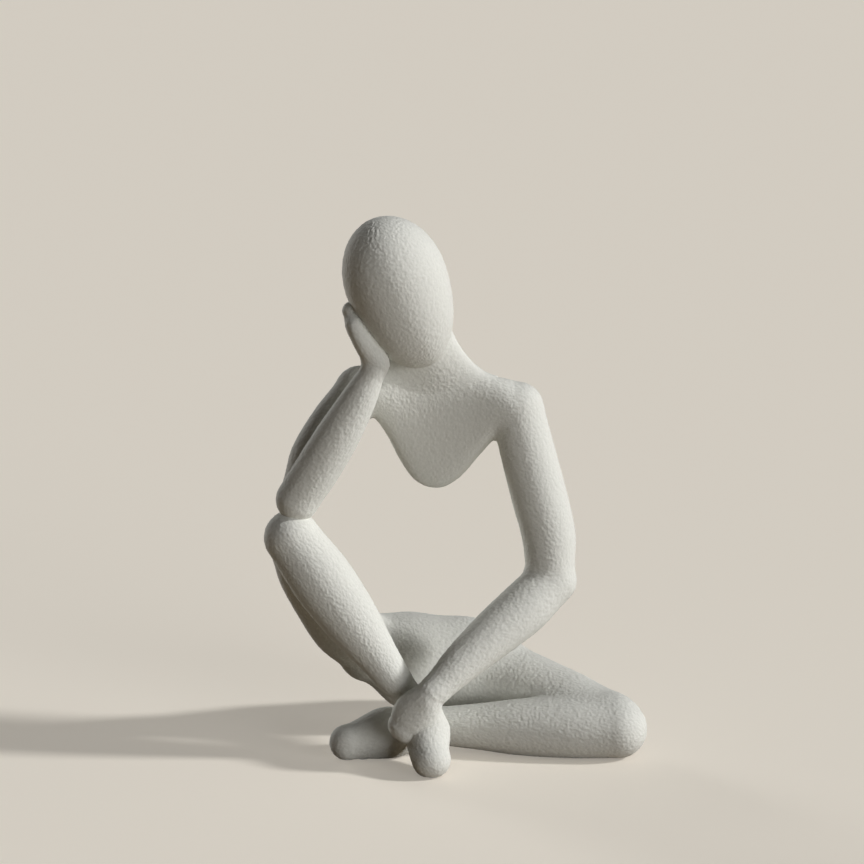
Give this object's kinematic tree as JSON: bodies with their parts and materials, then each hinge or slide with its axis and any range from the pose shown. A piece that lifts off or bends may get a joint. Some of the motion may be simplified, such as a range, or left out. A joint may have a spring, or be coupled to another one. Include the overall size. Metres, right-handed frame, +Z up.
{
  "type": "thinker statue",
  "caption": "Abstract faceless seated figure with an open waist, its chin held in a hand above a raised knee; a shelf ornament of pinned stone-look castings.",
  "frame": {"origin": "on the ground, under the middle of the figure's bounding box", "axes": "+Z up, -Y the way the figure faces, +X to the viewer's right when it is seen from the front"},
  "size_m": [0.1734, 0.1132, 0.248],
  "materials": {
    "casting": "matt, fine sandstone grain",
    "steel": "plain bright rod",
    "rubber": "matt"
  },
  "bodies": {
    "root": {"head": "casting", "torso": "casting", "pelvis": "casting", "right_upper_arm": "casting", "left_upper_arm": "casting", "right_forearm": "casting", "left_forearm": "casting", "right_hand": "casting", "left_hand": "casting", "right_thigh": "casting", "left_thigh": "casting", "right_shin": "casting", "left_shin": "casting", "right_foot": "casting", "left_foot": "casting", "neck_dowel": "steel", "right_shoulder_dowel": "steel", "left_shoulder_dowel": "steel", "right_elbow_dowel": "steel", "left_elbow_dowel": "steel", "right_wrist_dowel": "steel", "left_wrist_dowel": "steel", "right_hip_dowel": "steel", "left_hip_dowel": "steel", "right_knee_dowel": "steel", "left_knee_dowel": "steel", "right_ankle_dowel": "steel", "left_ankle_dowel": "steel", "elbow_rest_dowel": "steel", "cheek_dowel": "steel", "ankle_rest_dowel": "steel", "seat_bumper": "rubber", "left_thigh_bumper": "rubber", "left_knee_bumper": "rubber", "left_foot_bumper": "rubber", "right_foot_bumper": "rubber"}
  },
  "joints": []
}
